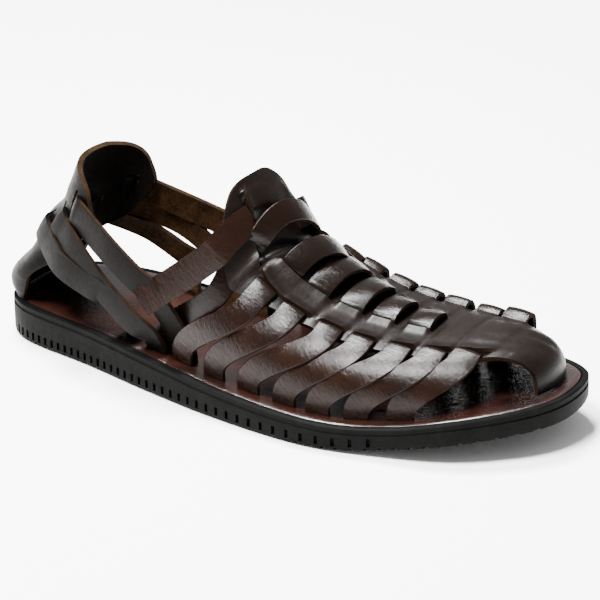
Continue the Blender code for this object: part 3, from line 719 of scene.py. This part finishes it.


# Near black, painted on as shade inside the counter and on the undersides of the leather
PAINTED_SHADE_BLACK = (0.0008, 0.0006, 0.0005)
BROWN = (0.0018, 0.0011, 0.0008)
WARM = (0.0095, 0.0031, 0.0014)
PALE_DARK = (0.0016, 0.0013, 0.0011)
PALE_LIGHT = (0.0036, 0.0028, 0.0023)
COUNTER_DARK = (0.0009, 0.0007, 0.0006)
COUNTER_LIGHT = (0.0030, 0.0016, 0.0011)
grain = grain_leather("brown_leather", BROWN, WARM, rough=0.22)
pale_grain = grain_leather("pale_leather", PALE_DARK, PALE_LIGHT, rough=0.55, wrinkle=0.8, fuzz=0.3,
                           level=0.05)
cap_grain = grain_leather("cap_leather", BROWN, WARM, rough=0.38, wrinkle=0.35)
counter_grain = grain_leather("counter_leather", COUNTER_DARK, COUNTER_LIGHT, rough=0.46, wrinkle=0.6,
                              level=0.03)
flesh = raw_leather("flesh_side", (0.0035, 0.0017, 0.0009), (0.022, 0.0105, 0.0040))
# Flesh side painted nearly black, as the shade under the straps and the spine and inside the counter
painted_shade_flesh = raw_leather("dark_flesh_side", PAINTED_SHADE_BLACK, (0.0025, 0.0015, 0.0011))
raw_edge = raw_leather("cut_edge", (0.0025, 0.0015, 0.0010), (0.012, 0.0062, 0.0034), FINE_SPECKLE)
tan_edge = raw_leather("tan_edge", (0.0025, 0.0014, 0.0008), (0.018, 0.0100, 0.0046), FINE_SPECKLE)
# Materials of the grain side, the flesh side and the cut edges. The nearly black flesh side is painted shade.
STRAP_MATERIALS = (grain, painted_shade_flesh, raw_edge)
TAN_STRAP_MATERIALS = (grain, flesh, tan_edge)
BAND_MATERIALS = {-1: (counter_grain, painted_shade_flesh, raw_edge), 1: (counter_grain, flesh, tan_edge)}
HEEL_STRAP_MATERIALS = (pale_grain, flesh, raw_edge)
SPINE_MATERIALS = (cap_grain, painted_shade_flesh, raw_edge)
COUNTER_MATERIALS = (counter_grain, painted_shade_flesh, tan_edge)


# Sole

def joined_boxes(boxes):
    points, faces = [], []
    for centre, along, sizes in boxes:
        across = Vector((-along.y, along.x, 0))
        base = len(points)
        for k in (-0.5, 0.5):
            for j in (-0.5, 0.5):
                for i in (-0.5, 0.5):
                    points.append(centre + along * sizes[0] * i + across * sizes[1] * j
                                  + Vector((0, 0, sizes[2] * k)))
        for side in ((0, 2, 3, 1), (4, 5, 7, 6), (0, 1, 5, 4), (2, 6, 7, 3), (0, 4, 6, 2), (1, 3, 7, 5)):
            faces.append(tuple(base + v for v in side))
    mesh = bpy.data.meshes.new("cutter")
    mesh.from_pydata(points, [], faces)
    return new_object("cutter", mesh)


def cut(obj, cutter):
    """obj without cutter's volume; the cutter is removed."""
    modifier = obj.modifiers.new("cut", "BOOLEAN")
    modifier.operation = "DIFFERENCE"
    modifier.solver = "EXACT"
    modifier.object = cutter
    bpy.context.view_layer.update()
    shape = bpy.data.meshes.new_from_object(obj.evaluated_get(bpy.context.evaluated_depsgraph_get()))
    obj.modifiers.clear()
    obj.data = shape
    bpy.data.objects.remove(cutter)


SOLE_RINGS = (
    # inset, height that it follows, height over that
    (SOLE_BEVEL, underside_height, 0.0),
    (0.0006, underside_height, 0.0007),
    (0.0, underside_height, SOLE_BEVEL),
    (0.0, rim_height, -STEP_HEIGHT),
    (0.0005, rim_height, 0.0003 - STEP_HEIGHT),
    (0.0005, rim_height, -0.0024),
    (0.0001, rim_height, -0.0021),
    (0.0001, rim_height, -0.0006),
    (0.0006, rim_height, -0.0001),
    (0.0011, rim_height, 0.0),
    (RIM_WIDTH - 0.0003, rim_height, 0.0),
    (RIM_WIDTH, rim_height, -0.0004),
    (RIM_WIDTH, rim_height, -INSOLE_THICKNESS - 0.0003),
)
INSOLE_SEAT = RIM_WIDTH + 0.0003
INSOLE_RINGS = (
    # inset, height that it follows, height over that
    (INSOLE_SEAT, rim_height, -INSOLE_THICKNESS),
    (INSOLE_SEAT, rim_height, -0.0007),
    (INSOLE_SEAT + 0.0002, rim_height, -0.0002),
    (INSOLE_SEAT + 0.0008, rim_height, 0.0001),
    (INSOLE_SEAT + 0.0040, rim_height, 0.0),
)
# Runs along the sole, as shares of its length
NOTCHED_RUN = (-0.455, 0.290)
GROOVED_RUN = (-0.430, 0.495)
PLAIN_RUN = (-0.270, 0.130)
GROOVE_PITCH = 0.0060
GROOVE_WIDTH = 0.0022
GROOVE_HEIGHT = 0.0028
# The cutter of a groove is longer than the sole is wide
GROOVE_LENGTH = 0.3


def make_outsole():
    outsole = closed_rings("outsole_looks", [ring_at(*row) for row in SOLE_RINGS], rubber())
    notches = []
    start, end = NOTCHED_RUN
    for side, _ in SIDES:
        x = start * SOLE_LENGTH
        while x < end * SOLE_LENGTH:
            point, direction = edge_at(x, side, 0.0)
            centre = Vector((point.x, point.y, underside_height(x) + SOLE_BEVEL + NOTCH_HEIGHT / 2))
            notches.append((centre, direction, (NOTCH_WIDTH, 2 * NOTCH_DEPTH, NOTCH_HEIGHT)))
            share = (x / SOLE_LENGTH - start) / (end - start)
            x += (NOTCH_PITCH_HEEL + (NOTCH_PITCH_TOE - NOTCH_PITCH_HEEL) * share**2) * abs(direction.x)
    cut(outsole, joined_boxes(notches))
    grooves = []
    x = GROOVED_RUN[0] * SOLE_LENGTH
    while x < GROOVED_RUN[1] * SOLE_LENGTH:
        if not PLAIN_RUN[0] * SOLE_LENGTH <= x <= PLAIN_RUN[1] * SOLE_LENGTH:
            centre = Vector((x, 0, underside_height(x)))
            grooves.append((centre, Vector((1, 0, 0)), (GROOVE_WIDTH, GROOVE_LENGTH, GROOVE_HEIGHT)))
        x += GROOVE_PITCH
    cut(outsole, joined_boxes(grooves))
    outsole.data.shade_smooth()
    outsole.data.set_sharp_from_angle(angle=radians(35))
    return outsole


def make_insole():
    return closed_rings("insole_looks", [ring_at(*row) for row in INSOLE_RINGS], insole_leather())


# Straps

OVER_GAP = 0.0001
UNDER_PRESS = 0.0002
WORN_RUN = 0.30
ANKLE_WEAR = 0.8
LOOP_WEAR = 0.3
HEEL_WEAR = 0.35
# Shares of a heel strap's length: where the painted shade of the counter's inside starts on it, and over what
# run
SHADE_START = 0.72
SHADE_RUN = 0.08


def foot_points(along, side, shift=0.0):
    point, direction = edge_at(along * SOLE_LENGTH, side, FOOT_MARGIN + shift)
    outward = Vector((-direction.y, direction.x, 0)) * (1 if side > 0 else -1)
    top = rim_height(point.x)
    heights = (top - FOOT_DEPTH, top, top + FOOT_RISE)
    return [Vector((point.x, point.y, z)) for z in heights], [outward] * len(heights)


def slits_used(weave, slits):
    """A strap with three levels passes through the outer and the inner slit alone."""
    return (slits[0], slits[3]) if len(WEAVES[weave]) == 3 else slits


def weave_height(y, slits, weave, rise):
    """Height of a strap's middle over the spine's outer face, its rise there, and its share of the
    middle's arch."""
    over = STRAP_WALL / 2 + OVER_GAP
    under = -SPINE_WALL - STRAP_WALL / 2 + UNDER_PRESS
    levels = WEAVES[weave]
    slits = slits_used(weave, slits)
    height = levels[0]
    for k, slit in enumerate(slits):
        height += ease((y - slit) / SLIT_RUN + 0.5) * (levels[k + 1] - levels[k])
    low, high = (slits[0], slits[1]) if len(slits) == 2 else (slits[1], slits[2])
    arch = max(0.0, 1 - (2 * (y - low) / (high - low) - 1) ** 2)
    return under + (over - under) * height, rise * arch, arch


def crossing_station(crossing, forward, y, slits):
    return (crossing + forward * ease((y - slits[0]) / (slits[3] - slits[0]))) * SOLE_LENGTH


def crossing_points(crossing, forward, weave, rise, tilt, far=0.0):
    slits = slit_lines(crossing)
    edges = spine_edges(crossing * SOLE_LENGTH)
    low, high = edges[0] - EDGE_REACH, edges[1] + EDGE_REACH
    count = round((high - low) / PATH_STEP)
    path, outward = [], []
    for k in range(count + 1):
        y = low + (high - low) * k / count
        station = crossing_station(crossing, forward, y, slits)
        normal = last_normal(station, y)
        height, lift, arch = weave_height(y, slits, weave, rise)
        height += far * bell(y - slits[3] - FAR_REACH, FAR_REACH)
        ahead = (last_point(station + EDGE_REACH, y) - last_point(station - EDGE_REACH, y)).normalized()
        path.append(last_point(station, y) + normal * height + Vector((0, 0, lift)))
        outward.append((normal - ahead * tilt * arch).normalized())
    return path, outward


def foot_wear(share):
    """Straps are browner and more wrinkled towards their feet."""
    return 1 - ease((0.5 - abs(share - 0.5)) / WORN_RUN)


def even(value):
    return lambda share: value


def free_span(foot, foot_out, end, end_out, arrive):
    reach = (end - foot).length
    leave = Vector((0, 0, 1)) + foot_out * FOOT_LEAN
    path = hermite(foot, leave * reach, end, arrive * reach, SPAN_STEPS)[1:]
    outward = [foot_out.lerp(end_out, (k + 1) / SPAN_STEPS).normalized() for k in range(len(path))]
    return path, outward


def both_sides(path, outward, run_of):
    """The crossing with its free run added on each side, from the inner end to the outer."""
    for side, _ in SIDES:
        if side > 0:
            path.reverse()
            outward.reverse()
        span, span_out = run_of(side, path, outward)
        path = span + path
        outward = span_out + outward
    return path[::-1], outward[::-1]


def footed_run(feet_of):
    def run(side, path, outward):
        feet, feet_out = feet_of(side)
        arrive = (path[1] - path[0]).normalized()
        span, span_out = free_span(feet[-1], feet_out[-1], path[0], outward[0], arrive)
        return feet + span, feet_out + span_out
    return run


def make_row(name, outer_foot, crossing, inner_foot, forward, weave, rise, tilt):
    feet = {-1: outer_foot, 1: inner_foot}
    run = footed_run(lambda side: foot_points(feet[side], side))
    far = FAR_RISE[name]
    path, outward = both_sides(*crossing_points(crossing, forward, weave, rise, tilt, far), run)
    return strap("row_" + name, path, outward, STRAP_WIDTH, STRAP_MATERIALS, FULL_CURL, {"wear": foot_wear})


def make_ankle_strap():
    def run(side, path, outward):
        tip = place(V_TIP[side])
        straight = path[0] - tip
        tip -= straight.normalized() * ARM_END
        arrive = (path[1] - path[0]).normalized() * straight.length
        span = hermite(tip, straight, path[0], straight.lerp(arrive, ARM_BEND), SPAN_STEPS)
        span_out = [side_out(side).lerp(outward[0], ease(k / SPAN_STEPS)).normalized()
                    for k in range(SPAN_STEPS)]
        return span, span_out

    path, outward = crossing_points(*ANKLE_ROW[1:], FAR_RISE["ankle"])
    slit = slit_lines(ANKLE_ROW[1])[0]
    for point in path:
        if point.y < slit:
            point += ARM_STANDS * (slit - point.y) / (slit - path[0].y)
    path, outward = both_sides(path, outward, run)
    return strap("ankle_strap", path, outward, ANKLE_STRAP_WIDTH, STRAP_MATERIALS, FULL_CURL,
                 {"wear": even(ANKLE_WEAR)})


def make_waist_loop():
    run = footed_run(lambda side: foot_points(WAIST_FOOT[side], side, INNER_LINE))
    path, outward = both_sides(*crossing_points(*LOOP_ROW[1:]), run)
    return strap("waist_loop", path, outward, WAIST_STRAP_WIDTH, TAN_STRAP_MATERIALS, SLIGHT_CURL,
                 {"wear": even(LOOP_WEAR)})


# Heel counter and heel straps

def counter_point(height, turn):
    back = read_table(COUNTER, 1, height) * SOLE_LENGTH
    wing = read_table(COUNTER, 2, height) * SOLE_LENGTH
    width = read_table(COUNTER, 3, height) * COUNTER_WIDTH
    angle = turn * pi / 180
    y = -width / 2 * cos(angle)
    skew = COUNTER_SKEW * (y + COUNTER_WIDTH / 2) ** 2 / COUNTER_WIDTH
    return Vector((wing - (wing - back) * sin(angle) - skew, y, height * COUNTER_HEIGHT))


def counter_normal(height, turn):
    rise, step = 0.04, 2
    up = counter_point(height + rise, turn) - counter_point(height - rise, turn)
    around = counter_point(height, turn + step) - counter_point(height, turn - step)
    return up.cross(around).normalized()


def make_counter():
    rows, columns = COUNTER_ROWS, COUNTER_COLUMNS
    low, high = COUNTER_SEAT, COUNTER[-1][0]
    grid, params = [], []
    for i in range(rows + 1):
        height = low + (high - low) * i / rows
        standing = read_table(COUNTER, 4, height)
        row, row_params = [], []
        for k in range(columns + 1):
            spread = 1 - 2 * k / columns
            turn = 90 - spread * 90 * standing
            row_params.append((height, turn))
            row.append(counter_point(height, turn))
        grid.append(row)
        params.append(row_params)
    missing = set()
    for name, sides in COUNTER_SLITS.items():
        width = ANKLE_STRAP_WIDTH if name == "band" else HEEL_STRAP_WIDTH
        for side, (height, slit, _, _) in sides.items():
            for i in range(rows):
                for k in range(columns):
                    at_height, turn = params[i][k]
                    turned = turn if side < 0 else 180 - turn
                    tall = abs(at_height - height) * COUNTER_HEIGHT
                    if tall < width / 2 + SLIT_PLAY and abs(turned - slit) < SLIT_GAPE:
                        missing.add((i, k))
    return leather_sheet("counter_looks", grid, missing, COUNTER_WALL, -1.0, COUNTER_MATERIALS)


def counter_run(name, side):
    """The strap's run over the counter's outside, through its slit and a little way inside."""
    height, slit, lead, rise = COUNTER_SLITS[name][side]
    outside = STRAP_WALL / 2 + STRAP_GAP
    inside = -COUNTER_WALL - STRAP_WALL / 2 - STRAP_GAP
    path, outward = [], []
    steps = 24
    for k in range(steps + 1):
        past = k / steps * (lead + INNER_REACH * SLIT_TURN) - lead
        turn = slit + past if side < 0 else 180 - slit - past
        at_height = height + rise * past
        normal = counter_normal(at_height, turn)
        offset = outside + ease(past / SLIT_TURN / 2 + 0.5) * (inside - outside)
        path.append(counter_point(at_height, turn) + normal * offset)
        outward.append(normal)
    return path, outward


def heel_run(name, side, start, free):
    path, outward = counter_run(name, side)
    smooth = catmull(free + path[:2], HEEL_STEPS)[:HEEL_STEPS * len(free)]
    count = len(smooth)
    smooth_out = [start.lerp(outward[0], ease(k / count)).normalized() for k in range(count)]
    return smooth + path, smooth_out + outward


def heel_marks():
    """The ends of the heel straps are painted dark inside the counter, as the shade in there."""
    return {"dark": lambda share: ease((share - SHADE_START) / SHADE_RUN), "wear": even(HEEL_WEAR)}


def make_heel_band(side, name):
    tip = place(V_TIP[side]) - Vector((0, side * (STRAP_WALL + BAND_GAP), 0))
    stub, stub_out = foot_points(BAND_FOOT[side], side, INNER_LINE)
    knee = stub[2].lerp(tip, KNEE_SHARE) + Vector((0, 0, KNEE_RISE))
    free = stub[2:] + [knee, tip] + [place(p) for p in HEEL_BAND[side]]
    path, outward = heel_run("band", side, stub_out[0], free)
    path, outward = stub[:2] + path, stub_out[:2] + outward
    return strap("heel_band_" + name, path, outward, ANKLE_STRAP_WIDTH, BAND_MATERIALS[side], SLIGHT_CURL,
                 heel_marks())


def make_heel_strap(which, side, name):
    table, foot, shift = HEEL_STRAPS[which]
    stub, stub_out = foot_points(foot[side], side, shift)
    path, outward = heel_run(which, side, stub_out[0], stub[2:] + [place(p) for p in table[side]])
    path = stub[:2] + path
    outward = stub_out[:2] + outward
    return strap(which + "_strap_" + name, path, outward, HEEL_STRAP_WIDTH, HEEL_STRAP_MATERIALS, SLIGHT_CURL,
                 heel_marks())


# Spine: tongue, woven vamp and toe cap

CREASES = (
    # along, across, along, across (mm on the last), depth and half width (mm)
    (93, -8, 116, 6, 0.35, 2.6),
    (95, 0, 121, 12, 0.3, 2.8),
    (100, 10, 123, 20, 0.5, 2.6),
    (108, -4, 122, 3, -0.25, 2.4),
    (90, 18, 116, 26, 0.4, 2.4),
)


CREASE_FADE = 4
CREASE_END = 0.15


def crease_height(station, y):
    total = 0.0
    for start_x, start_y, end_x, end_y, depth, width in CREASES:
        start, end = Vector((start_x, start_y)) / 1000, Vector((end_x, end_y)) / 1000
        line = end - start
        share = (Vector((station, y)) - start).dot(line) / line.length_squared
        inside = min(max(share, 0.0), 1.0)
        distance = (Vector((station, y)) - start - line * inside).length
        fade = ease(min(inside, 1 - inside) * CREASE_FADE + CREASE_END)
        total -= depth / 1000 * bell(distance, width / 1000) * fade
    return total


CROSSINGS = [(crossing, forward, weave, STRAP_WIDTH) for _, _, crossing, _, forward, weave, _, _ in ROWS]
CROSSINGS += [(*ANKLE_ROW[1:4], ANKLE_STRAP_WIDTH), (*LOOP_ROW[1:4], WAIST_STRAP_WIDTH)]

# The spine's bulge over a strap and its sag under one, and how they end beside the strap
BULGE = 0.0004
SAG = 0.0003
LIP_SAG = 0.0004
LIP_REACH = 0.0026
INNER_LIP_SHARE = 0.4
BULGE_INSET = 0.0014
BULGE_FADE = 0.0026


def weave_bulge(station, y):
    """The spine stands up over a strap that runs under it, most at its lips, and lies down under one
    that runs over it."""
    weights, total = 0.0, 0.0
    for crossing, forward, weave, width in CROSSINGS:
        slits = slit_lines(crossing)
        away = abs(station - crossing_station(crossing, forward, y, slits))
        window = 1 - ease((away - width / 2 + BULGE_INSET) / BULGE_FADE)
        if window == 0.0:
            continue
        local = slits_used(weave, slit_lines(station / SOLE_LENGTH))
        interval = sum(y > slit for slit in local)
        lips = local[max(interval - 1, 0):interval + 1]
        near = sum(bell(y - lip, LIP_REACH) * (INNER_LIP_SHARE if lip > local[-2] else 1.0) for lip in lips)
        over = WEAVES[weave][interval] > 0.5
        height = -SAG - LIP_SAG * near if over else BULGE + LIP_RISE * near
        if weave == "loop" and over:
            height -= LOOP_DIP
        weights += window
        total += window * height
    return total / max(weights, 1.0)


TONGUE_STEP = 0.0003
SPINE_STEP = 0.0008
# Columns of the spine's grid: wide bands, with the one column of a slit between them
SPINE_BANDS = (8, 1, 10, 1, 28, 1, 10, 1, 8)
# On the tongue the columns stand at even shares of its width, and reach the slit lines below it
TONGUE_SHARES = (0.30, 0.42, 0.62, 0.76)
TONGUE_TURN = -0.034
TONGUE_TURN_RUN = 0.016
LIP_OVERRUN = 0.0008


def make_spine():
    stations = []
    station = SPINE[0][0] * SOLE_LENGTH
    while station < 0.5 * SOLE_LENGTH:
        stations.append(station)
        station += TONGUE_STEP if station < TONGUE_TOP * SOLE_LENGTH else SPINE_STEP
    stations.append(0.5 * SOLE_LENGTH)
    slit_columns = {}
    column = 0
    for band, count in enumerate(SPINE_BANDS):
        if band % 2:
            slit_columns[band // 2] = column
        column += count
    grid, lips = [], set()
    for station in stations:
        share = station / SOLE_LENGTH
        edges = spine_edges(station)
        blend = ease((share - TONGUE_TURN) / TONGUE_TURN_RUN)
        tongue_lines = [edges[0] + (edges[1] - edges[0]) * k for k in TONGUE_SHARES]
        slits = [a + (b - a) * blend for a, b in zip(tongue_lines, slit_lines(share))]
        stops = [edges[0]]
        for slit in slits:
            stops += [slit - SLIT_HALF, slit + SLIT_HALF]
        stops.append(edges[1])
        row = []
        for band, count in enumerate(SPINE_BANDS):
            for k in range(count):
                row.append(stops[band] + (stops[band + 1] - stops[band]) * k / count)
        row.append(edges[1])
        lifted = []
        for y in row:
            lift = weave_bulge(station, y) + crease_height(station, y)
            lifted.append(last_point(station, y) + last_normal(station, y) * lift)
        grid.append(lifted)
    for crossing, forward, weave, width in CROSSINGS:
        slits = slit_lines(crossing)
        for k, column in slit_columns.items():
            if len(WEAVES[weave]) == 3 and k in (1, 2):
                continue
            centre = crossing_station(crossing, forward, slits[k], slits)
            for i in range(len(stations) - 1):
                if abs((stations[i] + stations[i + 1]) / 2 - centre) < width / 2 + LIP_OVERRUN:
                    lips.add((i, column))
    return leather_sheet("spine", grid, set(), SPINE_WALL, -1.0, SPINE_MATERIALS,
                         rounding=SPINE_ROUNDING, cut_faces=lips)


# Pieces

outsole = make_outsole()
insole = make_insole()
spine = make_spine()
upper_pieces = [spine] + [make_row(*row) for row in ROWS]
upper_pieces += [make_ankle_strap(), make_waist_loop()]
counter = make_counter()
heel_pieces = {}
for side, name in SIDES:
    upper_pieces.append(make_heel_band(side, name))
    heel_pieces[name] = [make_heel_strap(which, side, name) for which in HEEL_STRAPS]

for piece in [outsole, insole, counter] + upper_pieces + heel_pieces["outer"] + heel_pieces["inner"]:
    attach(piece, "root")
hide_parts("outsole")
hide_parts("insole")
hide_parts("upper")
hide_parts("heel_counter")
for name, pieces in heel_pieces.items():
    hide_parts("heel_straps_" + name)


# Floor, light and camera

FLOOR_HALF = 3.0
FLOOR_COLOUR = (0.92, 0.92, 0.91, 1.0)
WORLD_STRENGTH = 0.7
LAMP_TARGET = (0, 0, 0.03)
LAMP_SIZE = 0.40
LAMPS = (
    # name, place, watts
    ("key", (-0.34, 0.24, 1.18), 76.0),
    ("front", (-0.14, -0.40, 1.15), 80.0),
)


def make_floor():
    mesh = bpy.data.meshes.new("floor")
    corners = [(-FLOOR_HALF, -FLOOR_HALF, 0), (FLOOR_HALF, -FLOOR_HALF, 0),
               (FLOOR_HALF, FLOOR_HALF, 0), (-FLOOR_HALF, FLOOR_HALF, 0)]
    mesh.from_pydata(corners, [], [(0, 1, 2, 3)])
    floor = new_object("floor", mesh)
    n = Nodes("floor")
    n.shader.inputs["Base Color"].default_value = FLOOR_COLOUR
    n.shader.inputs["Roughness"].default_value = 0.9
    n.shader.inputs["Specular IOR Level"].default_value = 0.0
    mesh.materials.append(n.material)


def make_lamp(name, stand, watts):
    lamp = bpy.data.lights.new(name, "AREA")
    lamp.shape = "DISK"
    lamp.size = LAMP_SIZE
    lamp.energy = watts
    obj = new_object(name, lamp)
    obj.location = stand
    obj.rotation_euler = (Vector(LAMP_TARGET) - Vector(stand)).to_track_quat("-Z", "Y").to_euler()


def make_world():
    world = bpy.data.worlds.new("studio")
    world.use_nodes = True
    background = world.node_tree.nodes["Background"]
    background.inputs["Color"].default_value = (1.0, 1.0, 1.0, 1.0)
    background.inputs["Strength"].default_value = WORLD_STRENGTH
    bpy.context.scene.world = world


def make_camera(azimuth, elevation, roll, distance, target, lens):
    """The azimuth is turned from -Y towards +X."""
    azimuth, elevation, roll = radians(azimuth), radians(elevation), radians(roll)
    back = Vector((sin(azimuth) * cos(elevation), -cos(azimuth) * cos(elevation), sin(elevation)))
    right = Vector((cos(azimuth), sin(azimuth), 0))
    up = back.cross(right)
    turned_right = right * cos(roll) + up * sin(roll)
    turned_up = up * cos(roll) - right * sin(roll)
    data = bpy.data.cameras.new("camera")
    data.lens = lens
    data.sensor_width = 36.0
    data.clip_start = 0.05
    data.clip_end = 20.0
    camera = new_object("camera", data)
    position = Vector(target) + back * distance
    turn = Matrix((turned_right, turned_up, back)).transposed().to_4x4()
    camera.matrix_world = Matrix.Translation(position) @ turn
    bpy.context.scene.camera = camera


make_floor()
make_world()
for lamp in LAMPS:
    make_lamp(*lamp)
make_camera(azimuth=31.861, elevation=24.304, roll=-0.672, distance=1.21289,
            target=(0.00557, 0.00556, 0.035), lens=169.449)
